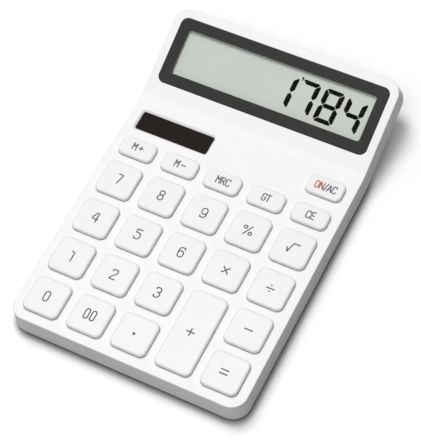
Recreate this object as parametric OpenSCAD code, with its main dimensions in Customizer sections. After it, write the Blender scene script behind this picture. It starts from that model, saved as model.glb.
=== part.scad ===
// Desk calculator with a flat keypad and a display section that bends up from it.
// Origin: centre of the base, on the desk. +Y points from the user towards the display, +Z up.

/* [Case] */
// Width of the case across its top face
body_w = 104; // [103:0.5:110]
// Length of the flat keypad section, from the front edge to the bend
keypad_l = 114.2; // [114:0.2:120]
// Length of the display section along its own slope
display_l = 42.8; // [42.6:0.2:46]
// Slope of the display section above the keypad
display_tilt = 20.4; // [19:0.2:22]
// Height of the side walls
wall_h = 10.1; // [10:0.1:11.5]
// Thickness of the side walls
wall_t = 1.8; // [1.5:0.1:1.9]
// Thickness of the top skin
skin_t = 1.8; // [1.7:0.1:1.8]
// Radius of the case's corners, seen from above
corner_r = 6.8; // [5:0.1:9]
// Radius of the bend between the two sections, at the top surface
bend_r = 15; // [8:1:16]
// How far the side walls lean outwards over their height
flare = 0.5; // [0:0.1:0.8]

/* [Base] */
// Thickness of the bottom cover
base_t = 1.2; // [1:0.1:1.6]
// How far the bottom cover sits inside the foot of the walls
base_inset = 1; // [0.8:0.1:1.4]
// Height of the rubber feet below the bottom cover
foot_h = 0.8; // [0.6:0.1:1.5]
// Width of the battery housing that props up the display section
stand_w = 80; // [76:1:84]

/* [Keys] */
// Distance between the centres of neighbouring columns of keys
column_pitch = 19.9; // [19.8:0.05:20]
// Distance between the centres of neighbouring rows of keys
row_pitch = 20; // [19.8:0.05:20]
// Side of a square key
key_w = 16; // [15:0.1:16]
// Length of the short function keys
short_key_l = 9.1; // [9:0.1:9.6]
// Height of a key's face above the case
key_h = 1.8; // [1.6:0.1:2.2]
// Radius of a key's corners, seen from above
key_r = 2.8; // [2.6:0.1:3.2]
// Radius of the rounding round a key's face
key_edge_r = 0.8; // [0.7:0.1:0.9]
// Gap between a key and its opening
key_gap = 0.2; // [0.15:0.05:0.3]
// Travel of a key
key_travel = 1.5; // [1:0.1:1.6]
// Margin between the front edge of the case and the first row of keys
front_margin = 4.25; // [4:0.05:4.5]

/* [Display] */
// Width of the dark display frame
frame_w = 96.6; // [94:0.2:97]
// Length of the dark display frame along the slope
frame_l = 30; // [29.4:0.2:30.4]
// Width of the visible display
view_w = 87.6; // [84:0.2:88]
// Length of the visible display along the slope
view_l = 20.4; // [18:0.1:20.6]
// Length of the solar cell's opening
solar_w = 33.8; // [31:0.2:34]
// Width of the solar cell's opening
solar_l = 9.2; // [8.6:0.1:9.4]
// Width and depth of the bevel round the solar cell's opening
solar_bevel = 0.7; // [0.4:0.1:1]

/* [Hidden] */
$fn = 48;
eps = 0.05;

// Heights, in millimetres above the desk
top_z = foot_h + base_t + wall_h;

// Both sections are drawn from the bend line: y = 0 there, z = 0 on the top surface
bend_run = bend_r * tan(display_tilt / 2);
rear_reach = (display_l + flare) * cos(display_tilt) + wall_h * sin(display_tilt);
bend_y = (keypad_l + flare - rear_reach) / 2;
half_w = body_w / 2;
bend_steps = 12;
spare = 5;
overlap = 8;

// Depths below the top surface
flange_top = skin_t + 0.1;
flange_bottom = flange_top + 0.8;
mat_top = flange_bottom + 0.1;
web_top = flange_bottom + key_travel + 0.4;
board_top = web_top + 0.7;
board_bottom = board_top + 1.2;
well_top = wall_h - 2;
base_bottom = wall_h + base_t;

// Keypad grid: columns count from the middle, rows from the front
row0_y = -keypad_l + front_margin + key_w / 2;
key_between = row_pitch - key_w;
short_row_y = row0_y + 3 * row_pitch + key_w / 2 + key_between + short_key_l / 2;
power_gap = 5.4;
power_row_y = short_row_y + short_key_l + power_gap;
tall_key_l = key_w + row_pitch;
function row_y(row) = row0_y + row * row_pitch;
function column_x(column) = column * column_pitch;
function gap_y(row) = row_y(row) + row_pitch / 2;

// Name, column, centre and length of every key
KEYS = [
    for (key = [["key_0", -2, 0], ["key_00", -1, 0], ["key_point", 0, 0], ["key_equals", 2, 0],
                ["key_1", -2, 1], ["key_2", -1, 1], ["key_3", 0, 1], ["key_minus", 2, 1],
                ["key_4", -2, 2], ["key_5", -1, 2], ["key_6", 0, 2], ["key_times", 1, 2],
                ["key_divide", 2, 2], ["key_7", -2, 3], ["key_8", -1, 3], ["key_9", 0, 3],
                ["key_percent", 1, 3], ["key_root", 2, 3]])
        [key[0], column_x(key[1]), row_y(key[2]), key_w],
    ["key_plus", column_x(1), gap_y(0), tall_key_l],
    for (key = [["key_memory_plus", -2], ["key_memory_minus", -1], ["key_memory_recall", 0],
                ["key_grand_total", 1], ["key_clear_entry", 2]])
        [key[0], column_x(key[1]), short_row_y, short_key_l],
    ["key_on_clear", column_x(2), power_row_y, short_key_l]
];

// Posts stand where four key corners meet
case_posts = [for (side = [-1.5, 1.5], row = [1, 3]) [column_x(side), gap_y(row)]];
board_posts = [for (spot = [[-1.5, 0], [-0.5, 1], [-1.5, 2], [0.5, 2], [1.5, 2], [0.5, 3]])
    [column_x(spot[0]), gap_y(spot[1])]];
post_r = 2.3;
post_clearance = 0.3;
case_thread_r = 1.1;
board_thread_r = 0.95;
thread_gap = 0.05;
seat_gap = 0.02;
board_thread_l = 3.7;
holder_screw_at = [30, 5.4];

// Board and key mat
board_w = body_w - 2 * wall_t - 3.2;
board_front = -keypad_l + wall_t + 1.2;
board_rear = -2.5;
mat_w = board_w - 1.2;
mat_rear = short_row_y + short_key_l / 2 + 1.8;
mat_power_rear = power_row_y + short_key_l / 2 + 1.6;
pill_r = 2.2;

// Display stack, measured down from the top surface of the display section
frame_mid = 23.5;
view_mid = 23.72;
pocket_depth = 1;
window_top = pocket_depth + eps;
window_bottom = skin_t;
polarizer_top = window_bottom + eps;
glass_top = polarizer_top + 0.15;
rear_glass_top = glass_top + 0.8;
reflector_top = rear_glass_top + 0.8;
tray_top = reflector_top + 0.25;
tray_bottom = tray_top + 1;
glass_w = view_w + 2.8;
glass_rear = view_mid + view_l / 2 + 1.5;
front_glass_front = view_mid - view_l / 2 - 1.2;
rear_glass_front = front_glass_front - 2.4;
flex_w = 44;
flex_t = 0.15;

// Solar cell
solar_x = -30;
solar_y = -10.97;
solar_r = 1;
solar_lap = 0.75;
solar_t = 1.1;

// Battery housing under the display section, level with the desk
stand_front = 9;
stand_rear = 37;
stand_t = 1.5;
stand_floor_t = 1.6;
stand_r = 4;
cell_r = 5.25;
cell_l = 44.5;
nub_l = 0.8;
nub_r = 1.9;
cell_y = 28.8;
cell_z = -base_bottom + stand_floor_t + 0.35 + cell_r;
contact_t = 0.4;
spring_l = 4.9;
bay_half = (contact_t * 2 + cell_l + spring_l) / 2;
bay_wall_t = 1.2;
bay_front = cell_y - cell_r - 0.35;
bay_top = cell_z + 4.55;
cell_front_x = bay_half - contact_t;
cell_rear_x = cell_front_x - cell_l;
bay_ceiling = tray_bottom + 0.85;

// Battery door
door_w = 58;
door_t = 1.4;
door_front = bay_front + 0.15;
door_gap = 0.15;
tongue_w = 1;
tongue_low = 0.5;
tongue_high = 1.1;

// Feet
front_foot_r = 4;
front_foot_at = [42, -104];
rear_foot_r = 3;
rear_foot_at = [35.2, 28];
foot_sink = 0.4;

// ---------------------------------------------------------------- frames of reference

module on_keypad() translate([0, bend_y, top_z]) children();

module on_display() on_keypad() rotate([display_tilt, 0, 0]) children();

// Everything below a given depth under the display section
module below_display(depth)
    rotate([display_tilt, 0, 0]) translate([-100, -100, -depth - 100]) cube([200, 200, 100]);

// ---------------------------------------------------------------- shared shapes

module plan(w, l, r) {
    square([w - 2 * r, l], center = true);
    square([w, l - 2 * r], center = true);
    for (side = [-1, 1], end = [-1, 1])
        translate([side * (w / 2 - r), end * (l / 2 - r)]) circle(r = r);
}

// A flat plate with rounded corners, between two depths
module plate(w, l, r, from, to)
    translate([0, 0, -to]) linear_extrude(to - from) plan(w, l, r);

// A box between two depths
module block(x0, x1, y0, y1, from, to)
    translate([x0, y0, -to]) cube([x1 - x0, y1 - y0, to - from]);

// An upright round bar between two depths
module bar(at, r, from, to)
    translate([at[0], at[1], -to]) cylinder(r = r, h = to - from);

// A point of the display section's side view, seen in the keypad's frame
function on_slope(y, depth) =
    [y * cos(display_tilt) + depth * sin(display_tilt),
     y * sin(display_tilt) - depth * cos(display_tilt)];

// The line at one depth below the top surface, in the side view: level, round the bend and up
function level_line(depth) = concat(
    [[-keypad_l - spare, -depth]],
    [for (i = [0 : bend_steps]) let (a = display_tilt * i / bend_steps, r = bend_r + depth)
        [r * sin(a) - bend_run, bend_r - r * cos(a)]],
    [on_slope(display_l + spare, depth)]);

function backwards(list) = [for (i = [len(list) - 1 : -1 : 0]) list[i]];

// A bent sheet between two depths, wider and longer than the case
module bent_sheet(d0, d1)
    translate([-half_w - spare, 0, 0]) rotate([90, 0, 90]) linear_extrude(body_w + 2 * spare)
        polygon(concat(level_line(d0), backwards(level_line(d1))));

// The outline of one section as a tall block with one rounded end. It is grow larger than the
// case's top face all round, and leans outwards by lean for each millimetre of depth.
module outline(l, grow, lean) {
    side = half_w - corner_r;
    high = -wall_h / 2;
    low = 2 * wall_h;
    g0 = grow + lean * high;
    g1 = grow + lean * low;
    translate([0, overlap, 0]) rotate([90, 0, 0]) linear_extrude(l - corner_r + overlap)
        polygon([[-half_w - g0, -high], [half_w + g0, -high],
                 [half_w + g1, -low], [-half_w - g1, -low]]);
    translate([-side, 0, 0]) rotate([90, 0, 90]) linear_extrude(2 * side)
        polygon([[-l - g0, -high], [overlap, -high], [overlap, -low], [-l - g1, -low]]);
    for (x = [-side, side])
        translate([x, corner_r - l, -low])
            cylinder(h = low - high, r1 = corner_r + g1, r2 = corner_r + g0);
}

// The whole bent slab between two depths
module bent_slab(d0, d1, grow, lean = 0)
    intersection() {
        bent_sheet(d0, d1);
        union() {
            outline(keypad_l, grow, lean);
            rotate([display_tilt, 0, 0]) mirror([0, 1, 0]) outline(display_l, grow, lean);
        }
    }

// A pan-head screw that points up: its head hangs below the seat depth
module screw(at, seat, head_r, head_h, thread_r, thread_l)
    difference() {
        union() {
            bar(at, head_r, seat, seat + head_h);
            bar(at, thread_r, seat - thread_l, seat + eps);
        }
        for (turn = [0, 90])
            translate([at[0], at[1], -seat - head_h]) rotate(turn)
                cube([head_r * 1.2, head_r * 0.28, head_h], center = true);
    }

// A thin wire through a list of points
module wire(points, r)
    for (i = [1 : len(points) - 1])
        hull() for (p = [points[i - 1], points[i]]) translate(p) sphere(r = r, $fn = 10);

// ---------------------------------------------------------------- case

module key_openings()
    translate([0, 0, -skin_t - 1]) linear_extrude(skin_t + 2)
        for (key = KEYS)
            translate([key[1], key[2]])
                plan(key_w + 2 * key_gap, key[3] + 2 * key_gap, key_r + key_gap);

module snap_bumps(out, high)
    for (x = [-25, 25]) {
        block(x - 4 - high, x + 4 + high, -keypad_l + wall_t - out, -keypad_l + wall_t + 1,
              wall_h - 1.4 - high, wall_h - 0.7 + high);
        rotate([display_tilt, 0, 0])
            block(x - 4 - high, x + 4 + high, display_l - wall_t - 1, display_l - wall_t + out,
                  wall_h - 1.4 - high, wall_h - 0.7 + high);
    }

module top_shell()
    difference() {
        bent_slab(0, wall_h, 0, flare / wall_h);
        bent_slab(skin_t, wall_h + 1, -wall_t);
        key_openings();
        translate([solar_x, solar_y]) solar_opening();
        rotate([display_tilt, 0, 0]) {
            translate([0, frame_mid])
                plate(frame_w + 0.3, frame_l + 0.3, 3.15, -1, pocket_depth);
            translate([0, view_mid]) plate(view_w + 3.8, view_l + 3.9, 2.2, -1, skin_t + 1);
        }
        snap_bumps(0.8, 0.1);
    }

// Straight through the skin, with a bevel that faces up all round
module solar_opening() {
    reach = solar_bevel + 1;
    side_x = solar_w / 2;
    side_y = solar_l / 2;
    plate(solar_w, solar_l, solar_r, 0, skin_t + 1);
    translate([0, solar_l / 2 - solar_r, 0]) rotate([90, 0, 0])
        linear_extrude(solar_l - 2 * solar_r) bevel_profile(side_x, reach);
    translate([solar_r - solar_w / 2, 0, 0]) rotate([90, 0, 90])
        linear_extrude(solar_w - 2 * solar_r) bevel_profile(side_y, reach);
    for (x = [solar_r - side_x, side_x - solar_r], y = [solar_r - side_y, side_y - solar_r])
        translate([x, y, -solar_bevel])
            cylinder(h = reach, r1 = solar_r, r2 = solar_r + reach);
}

module bevel_profile(half, reach)
    polygon([[-half, -solar_bevel], [half, -solar_bevel],
             [half + reach, reach - solar_bevel], [-half - reach, reach - solar_bevel]]);

module post(at, end, thread_r)
    difference() {
        bar(at, post_r, skin_t - 0.5, end);
        bar(at, thread_r + thread_gap, skin_t + 0.7, end + 1);
    }

module solar_rib() {
    rib_w = solar_w + 2 * solar_lap + 0.4;
    rib_l = solar_l + 2 * solar_lap + 0.4;
    translate([solar_x, solar_y]) difference() {
        plate(rib_w + 1.6, rib_l + 1.6, 1, skin_t - 0.3, skin_t + 1.4);
        plate(rib_w, rib_l, 0.2, skin_t - 1, skin_t + 2);
    }
}

module top_case() color("white") {
    on_keypad() {
        top_shell();
        for (at = case_posts) post(at, well_top - eps, case_thread_r);
        for (at = board_posts) post(at, board_top - seat_gap, board_thread_r);
        solar_rib();
    }
    on_display()
        for (side = [-1, 1])
            post([side * holder_screw_at[0], holder_screw_at[1]], tray_top, board_thread_r);
}

module stand_block(inset, low, high)
    translate([0, (stand_front + stand_rear) / 2, low]) linear_extrude(high - low)
        plan(stand_w - 2 * inset, stand_rear - stand_front - 2 * inset, stand_r - inset);

module door_cut() {
    low = base_bottom + 1;
    half = door_w / 2 + door_gap;
    groove_half = half + tongue_w;
    block(-half, half, bay_front, stand_rear + 1, base_bottom - stand_floor_t, low);
    block(-groove_half, groove_half, bay_front, stand_rear + 1,
          base_bottom - tongue_high - door_gap, base_bottom - tongue_low + door_gap);
}

module battery_bay()
    intersection() {
        difference() {
            union() {
                for (side = [-1, 1])
                    translate([side * (bay_half + bay_wall_t / 2), 0, 0])
                        block(-bay_wall_t / 2, bay_wall_t / 2, stand_front + 1, stand_rear - 1,
                              -bay_top, base_bottom - stand_floor_t);
                block(-bay_half - eps, bay_half + eps, bay_front - bay_wall_t, bay_front,
                      -bay_top, base_bottom - stand_floor_t + eps);
                for (x = [-12, 12])
                    block(x - 0.6, x + 0.6, bay_front - eps, stand_rear - 1, -20, -cell_z);
            }
            translate([0, cell_y, cell_z]) rotate([0, 90, 0])
                cylinder(r = cell_r + 0.1, h = 2 * bay_half - eps, center = true);
        }
        below_display(bay_ceiling);
    }

module screw_well(at) bar(at, 3.4, well_top, base_bottom - eps);

module bottom_shell()
    difference() {
        union() {
            bent_slab(wall_h, base_bottom, flare - base_inset);
            difference() {
                bent_slab(wall_h - 1.5, wall_h + eps, -wall_t - 0.15);
                bent_slab(wall_h - 2, wall_h + 1, -wall_t - 1.35);
            }
            snap_bumps(0.6, 0);
            intersection() {
                stand_block(0, -base_bottom, 10);
                below_display(wall_h + base_t / 2);
            }
            for (at = case_posts) screw_well(at);
        }
        stand_block(stand_t, -base_bottom + stand_floor_t, 10);
        door_cut();
        for (at = case_posts) {
            bar(at, 2.3, wall_h - 0.8, base_bottom + 1);
            bar(at, 1.3, well_top - 1, base_bottom);
        }
        for (side = [-1, 1]) {
            bar([side * front_foot_at[0], front_foot_at[1]], front_foot_r + eps,
                base_bottom - foot_sink, base_bottom + 1);
            bar([side * rear_foot_at[0], rear_foot_at[1]], rear_foot_r + eps,
                base_bottom - foot_sink, base_bottom + 1);
        }
    }

module bottom_case() color("whitesmoke") on_keypad() {
    bottom_shell();
    battery_bay();
}

module battery_door() color("white") on_keypad() {
    half = door_w / 2;
    difference() {
        union() {
            block(-half, half, door_front, stand_rear, base_bottom - door_t, base_bottom);
            block(-half - tongue_w, half + tongue_w, door_front, stand_rear - 3,
                  base_bottom - tongue_high, base_bottom - tongue_low);
        }
        for (i = [0 : 3])
            block(-8, 8, stand_rear - 3 - 1.6 * i, stand_rear - 2.2 - 1.6 * i,
                  base_bottom - 0.4, base_bottom + 1);
    }
}

module feet(at, r)
    color("dimgray") on_keypad() for (side = [-1, 1])
        bar([side * at[0], at[1]], r, base_bottom - foot_sink, base_bottom + foot_h);

module front_feet() feet(front_foot_at, front_foot_r);

module rear_feet() feet(rear_foot_at, rear_foot_r);

module case_screws() color("silver") on_keypad()
    for (at = case_posts) screw(at, wall_h - 0.8, 2, 1.3, case_thread_r, 6);

// ---------------------------------------------------------------- display

module display_frame() color("dimgray") on_display()
    difference() {
        translate([0, frame_mid]) plate(frame_w, frame_l, 3, 0.1, pocket_depth);
        translate([0, view_mid]) plate(view_w, view_l, 1.2, 0, skin_t);
    }

module display_window() color("aliceblue", 0.3) on_display()
    translate([0, view_mid])
        plate(view_w + 3.4, view_l + 3.5, 2, window_top, window_bottom);

// A sheet of the display stack, from y0 to the stack's rear edge
module display_sheet(w, y0, y1, from, to)
    on_display() block(-w / 2, w / 2, y0, y1, from, to);

module front_polarizer() color("silver")
    display_sheet(glass_w - 0.8, front_glass_front + 0.2, glass_rear - 0.2,
                  polarizer_top, glass_top);

module lcd_front_glass() color("lightgray")
    display_sheet(glass_w, front_glass_front, glass_rear, glass_top, rear_glass_top);

module lcd_rear_glass() color("lightgray")
    display_sheet(glass_w, rear_glass_front, glass_rear, rear_glass_top, reflector_top);

module rear_reflector() color("gainsboro")
    display_sheet(glass_w - 0.8, front_glass_front + 0.2, glass_rear - 0.2,
                  reflector_top, reflector_top + 0.2);

module lcd_holder() color("ivory") on_display() {
    tray_mid = (rear_glass_front + glass_rear) / 2;
    tray_l = glass_rear - rear_glass_front;
    difference() {
        union() {
            translate([0, tray_mid])
                plate(glass_w + 4.4, tray_l + 3.6, 1, polarizer_top, tray_bottom);
            for (side = [-1, 1])
                translate([side * holder_screw_at[0], 0, 0])
                    block(-3, 3, holder_screw_at[1] - 2.2, tray_mid, tray_top, tray_bottom);
        }
        translate([0, tray_mid])
            plate(glass_w + 0.4, tray_l + 0.4, 0.2, polarizer_top - 1, tray_top);
        translate([0, view_mid])
            plate(glass_w - 8, view_l - 4, 2, polarizer_top - 1, tray_bottom + 1);
        block(-flex_w / 2 - 1, flex_w / 2 + 1, 0, rear_glass_front + 1,
              polarizer_top - 1, tray_top);
        for (side = [-1, 1])
            bar([side * holder_screw_at[0], holder_screw_at[1]], 1.2, 0, tray_bottom + 1);
    }
}

module holder_screws() color("silver") on_display()
    for (side = [-1, 1])
        screw([side * holder_screw_at[0], holder_screw_at[1]], tray_bottom, 1.9, 1,
              board_thread_r, 2.2);

module lcd_flex() color("orange") on_keypad() {
    path = [[board_rear - 4.5, -board_top], [board_rear - 0.5, -board_top],
            on_slope(rear_glass_front - 1.2, rear_glass_top - eps / 2),
            on_slope(rear_glass_front + 2, rear_glass_top)];
    translate([-flex_w / 2, 0, 0]) rotate([90, 0, 90]) linear_extrude(flex_w)
        polygon(concat(path, [for (point = backwards(path)) point + [0, flex_t]]));
}

// The cell with its clear cover, which stands in the opening up to the bevel
module solar_cell() color("#2b1d17") on_keypad() translate([solar_x, solar_y]) {
    plate(solar_w + 2 * solar_lap, solar_l + 2 * solar_lap, 0.3,
          skin_t + eps, skin_t + eps + solar_t);
    plate(solar_w - 0.2, solar_l - 0.2, solar_r - 0.1, solar_bevel, skin_t + 2 * eps);
}

module solar_wires() color("firebrick") on_keypad() {
    start = skin_t + eps + solar_t;
    for (x = [solar_x - 12, solar_x + 12])
        wire([[x, solar_y + 3, -start - 0.35], [x + 1, solar_y + 5, -start - 1],
              [x + 3, board_rear - 5.1, -board_top + 0.9],
              [x + 4, board_rear - 5.9, -board_top + 0.4]], 0.35);
}

// ---------------------------------------------------------------- keys

// Corner profile of a key: straight side, rounded edge
module corner_profile() {
    square([key_r, body_rise() - key_edge_r]);
    square([key_r - key_edge_r, body_rise()]);
    translate([key_r - key_edge_r, body_rise() - key_edge_r]) circle(r = key_edge_r, $fn = 24);
}

module side_profile(w) {
    translate([-w / 2, 0]) square([w, body_rise() - key_edge_r]);
    translate([-w / 2 + key_edge_r, 0]) square([w - 2 * key_edge_r, body_rise()]);
    for (side = [-1, 1])
        translate([side * (w / 2 - key_edge_r), body_rise() - key_edge_r])
            circle(r = key_edge_r, $fn = 24);
}

function body_rise() = key_h + flange_top;

// A key's body: upright sides with round corners, and a rounded edge round its face
module key_body(w, l) {
    for (side = [-1, 1], end = [-1, 1])
        translate([side * (w / 2 - key_r), end * (l / 2 - key_r), 0])
            rotate_extrude() corner_profile();
    translate([0, l / 2 - key_r, 0]) rotate([90, 0, 0]) linear_extrude(l - 2 * key_r)
        side_profile(w);
    translate([key_r - w / 2, 0, 0]) rotate([90, 0, 90]) linear_extrude(w - 2 * key_r)
        side_profile(l);
}

module keycap(key) color("white") on_keypad() translate([key[1], key[2], 0]) {
    l = key[3];
    difference() {
        union() {
            translate([0, 0, -flange_top]) key_body(key_w, l);
            plate(key_w + 1.6, l + 1.6, key_r + 0.8, flange_top - eps, flange_bottom);
        }
        plate(key_w - 2.6, l - 2.6, key_r - 1.3, -key_h + 1.4, flange_bottom + 1);
    }
    bar([0, 0], 2.6, -key_h + 1, flange_bottom + eps);
}

// ---------------------------------------------------------------- keypad works

module key_mat() color("darkgray") on_keypad()
    difference() {
        union() {
            block(-mat_w / 2, mat_w / 2, board_front + 0.6, mat_rear, web_top, board_top);
            block(column_x(1.5) - 2, mat_w / 2, mat_rear - 1, mat_power_rear, web_top, board_top);
            for (key = KEYS)
                translate([key[1], key[2], -web_top - eps])
                    cylinder(r1 = 4.5, r2 = 3.3, h = web_top + eps - mat_top);
        }
        for (key = KEYS)
            translate([key[1], key[2], -board_top - eps])
                cylinder(r1 = 3.9, r2 = 2.7, h = board_top + eps - mat_top - 0.7);
        for (at = concat(case_posts, board_posts))
            bar(at, post_r + post_clearance, 0, board_top + 1);
    }

module contact_pills() color("black") on_keypad()
    for (key = KEYS) bar([key[1], key[2]], pill_r, mat_top + 0.7, mat_top + 1.1);

module contact_pads() color("dimgray") on_keypad()
    for (key = KEYS)
        difference() {
            bar([key[1], key[2]], pill_r + 0.3, board_top - 0.08, board_top);
            block(key[1] - 0.2, key[1] + 0.2, key[2] - 4, key[2] + 4, 0, board_top + 1);
        }

module main_board() color("seagreen") on_keypad()
    difference() {
        block(-board_w / 2, board_w / 2, board_front, board_rear, board_top, board_bottom);
        for (at = case_posts) bar(at, post_r + post_clearance, 0, board_bottom + 1);
        for (at = board_posts) bar(at, board_thread_r + 0.15, 0, board_bottom + 1);
    }

module board_screws() color("silver") on_keypad()
    for (at = board_posts) screw(at, board_bottom, 1.9, 1.2, board_thread_r, board_thread_l);

// A low dome of resin over the chip
module chip_cover() color("#151515") on_keypad() {
    rise = 1.2;
    spread = 6.5;
    translate([column_x(-0.5), row_y(2), -board_bottom]) mirror([0, 0, 1]) rotate_extrude()
        polygon(concat([[0, 0]], [for (a = [0 : 15 : 90]) [spread * cos(a), rise * sin(a)]]));
}

module board_parts() color("tan") on_keypad()
    for (at = [[-2, -1.7], [-1.8, -1.7], [-1.6, -1.7], [-1, -0.8], [-0.8, -0.8], [1, -1.2],
               [1.2, -1.2], [1.4, -1.2]])
        translate([column_x(at[0]), short_row_y - at[1] * 4, 0])
            block(-0.65, 0.65, -1, 1, board_bottom, board_bottom + 0.7);

module storage_capacitor() color("steelblue") on_keypad()
    translate([column_x(1), power_row_y - 2, -board_bottom - 1.6]) rotate([0, 90, 0])
        cylinder(r = 1.6, h = 7);

// ---------------------------------------------------------------- battery

module battery_cell() color("gold") on_keypad()
    translate([cell_rear_x, cell_y, cell_z]) rotate([0, 90, 0]) {
        cylinder(r = cell_r, h = cell_l - nub_l);
        cylinder(r = nub_r, h = cell_l);
    }

// Flat contact with a tab that folds out over the bay's wall
module contact(side) {
    inner = bay_half - contact_t;
    scale_x = side > 0 ? 0 : 1;
    mirror([scale_x, 0, 0]) {
        block(inner, bay_half, cell_y - 4, cell_y + 4, -bay_top - contact_t - 0.1, 8.4);
        block(inner, bay_half + 2.4, cell_y - 3, cell_y, -bay_top - contact_t - 0.1,
              -bay_top - 0.1);
    }
}

module battery_plate() color("silver") on_keypad() contact(1);

// Points round one ring of the coil, at a turn angle
spring_turns = 4;
spring_wire_r = 0.3;
ring_sides = 6;
rings_per_turn = 10;
ring_count = spring_turns * rings_per_turn;
function coil_r(t) = 4.2 - 1.6 * t;
function coil_x(t) = cell_rear_x - spring_wire_r - eps - (1 - t) * (spring_l - 2 * spring_wire_r);
function coil_ring(i) =
    let (t = i / ring_count, turn = 360 * spring_turns * t)
    [for (k = [0 : ring_sides - 1])
        let (around = 360 * k / ring_sides, reach = coil_r(t) + spring_wire_r * cos(around))
        [coil_x(t) + spring_wire_r * sin(around), reach * cos(turn), reach * sin(turn)]];

module coil() {
    points = [for (i = [0 : ring_count]) each coil_ring(i)];
    sides = [for (i = [0 : ring_count - 1], k = [0 : ring_sides - 1])
        let (next = (k + 1) % ring_sides, low = i * ring_sides, high = low + ring_sides)
        each [[low + k, low + next, high + k], [low + next, high + next, high + k]]];
    first = [for (k = [ring_sides - 1 : -1 : 0]) k];
    last = [for (k = [0 : ring_sides - 1]) ring_count * ring_sides + k];
    polyhedron(points, concat([first], sides, [last]));
}

module battery_spring() color("silver") on_keypad() {
    contact(-1);
    translate([0, cell_y, cell_z]) coil();
}

module battery_wires() color("black") on_keypad()
    for (side = [-1, 1])
        wire([[side * (bay_half + 2), cell_y - 2.8, bay_top + contact_t + 0.65],
              [side * (bay_half + 2.6), 18, -1.5], [side * (bay_half + 2.6), 11, -4.6],
              [side * (bay_half + 1), 3, -board_bottom - 1.1],
              [side * (bay_half - 1), board_rear - 2.5, -board_bottom - 0.5]], 0.5);

// ---------------------------------------------------------------- parts

top_case();
bottom_case();
battery_door();
display_frame();
display_window();
front_polarizer();
lcd_front_glass();
lcd_rear_glass();
rear_reflector();
lcd_holder();
lcd_flex();
holder_screws();
solar_cell();
solar_wires();
key_mat();
contact_pills();
contact_pads();
main_board();
chip_cover();
board_parts();
storage_capacitor();
board_screws();
case_screws();
battery_cell();
battery_spring();
battery_plate();
battery_wires();
front_feet();
rear_feet();
for (key = KEYS)
    keycap(key);
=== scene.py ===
"""Desk calculator: smooth mouldings, printed legends, display, finishes and stage."""

import math
from contextlib import contextmanager

import bmesh
import bpy
from bpy.props import FloatProperty, FloatVectorProperty, PointerProperty
from mathutils import Matrix, Vector


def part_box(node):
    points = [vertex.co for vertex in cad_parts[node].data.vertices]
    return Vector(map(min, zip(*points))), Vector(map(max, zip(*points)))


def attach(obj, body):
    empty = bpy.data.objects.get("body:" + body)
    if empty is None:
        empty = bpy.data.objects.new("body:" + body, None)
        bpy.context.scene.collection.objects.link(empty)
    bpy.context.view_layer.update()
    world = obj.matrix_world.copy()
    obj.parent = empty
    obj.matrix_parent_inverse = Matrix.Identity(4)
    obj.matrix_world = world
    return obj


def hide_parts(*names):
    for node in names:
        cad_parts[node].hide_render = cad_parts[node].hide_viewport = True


bl_info = {
    "name": "Desk Calculator",
    "version": (1, 0, 0),
    "blender": (4, 5, 0),
    "location": "View3D > Sidebar > Calculator",
    "description": "Builds the look of a white desk calculator round its packed frame",
    "category": "Add Mesh",
}

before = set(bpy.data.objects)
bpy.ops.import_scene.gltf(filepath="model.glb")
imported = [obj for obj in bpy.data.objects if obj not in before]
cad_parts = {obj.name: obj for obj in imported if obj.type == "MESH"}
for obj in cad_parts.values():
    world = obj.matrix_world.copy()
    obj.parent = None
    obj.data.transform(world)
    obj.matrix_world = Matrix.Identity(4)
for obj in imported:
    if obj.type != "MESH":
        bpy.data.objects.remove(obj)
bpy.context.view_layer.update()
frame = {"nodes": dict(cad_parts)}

# ---- places taken from the frame

MM = 0.001
CASE = "case"
KEYS = sorted(n for n in frame["nodes"] if n.startswith("key_") and n != "key_mat")
KEY_RISE = 1.8 * MM
KEY_LIP = 0.8 * MM
FIRST_ROW = 101.95 * MM
COLUMN_PITCH = 19.9
ROW_PITCH = 20
TILT = math.radians(20.4)


def key_place(node):
    """Centre, width and length of a key's body, without the lip that holds it in."""
    low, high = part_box(node)
    return (low + high) / 2, high.x - low.x - 2 * KEY_LIP, high.y - low.y - 2 * KEY_LIP


KEY_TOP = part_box("key_0")[1].z
SKIN_Z = KEY_TOP - KEY_RISE
BEND_Y = key_place("key_0")[0].y + FIRST_ROW
KEYPAD = Matrix.Translation((0, BEND_Y, SKIN_Z))
DISPLAY = KEYPAD @ Matrix.Rotation(TILT, 4, "X")


# ---- settings


def amount(name, description, value, unit="NONE", precision=2):
    return FloatProperty(name=name, description=description, default=value, min=0, unit=unit,
                         precision=precision)


def length(name, description, millimetres):
    return amount(name, description, millimetres * MM, "LENGTH", 5)


def colour(name, description, red, green, blue):
    """A colour setting, given as it looks on a screen and kept as linear light."""
    linear = [((c / 255 + 0.055) / 1.055) ** 2.4 if c > 10 else c / 255 / 12.92 for c in (red, green, blue)]
    return FloatVectorProperty(name=name, description=description, default=linear, size=3, min=0, max=1,
                               subtype="COLOR")


class CaseSettings(bpy.types.PropertyGroup):
    """Sizes of the upper case."""

    width: length("Width", "Width of the top face", 104)
    keypad: length("Keypad length", "From the front edge to the bend", 114.2)
    display: length("Display length", "From the bend to the rear edge, along the slope", 42.8)
    corner: length("Corner radius", "Radius of the corners, seen from above", 6.8)
    height: length("Wall height", "Height of the side walls", 10.1)
    wall: length("Thickness", "Thickness of the walls and of the top skin", 1.8)
    flare: length("Flare", "How far the walls lean outwards", 0.5)
    edge: length("Edge rounding", "Radius along the outer edges", 0.35)
    mouth: length("Opening rounding", "Radius round the openings", 0.1)
    bend: length("Bend radius", "Radius of the bend at the top face", 15)
    solar_width: length("Solar opening width", "Width of the solar cell's opening", 33.8)
    solar_length: length("Solar opening length", "Length of the solar cell's opening", 9.2)
    solar_bevel: length("Solar bevel", "Width and depth of the bevel round the solar cell", 0.7)


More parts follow.
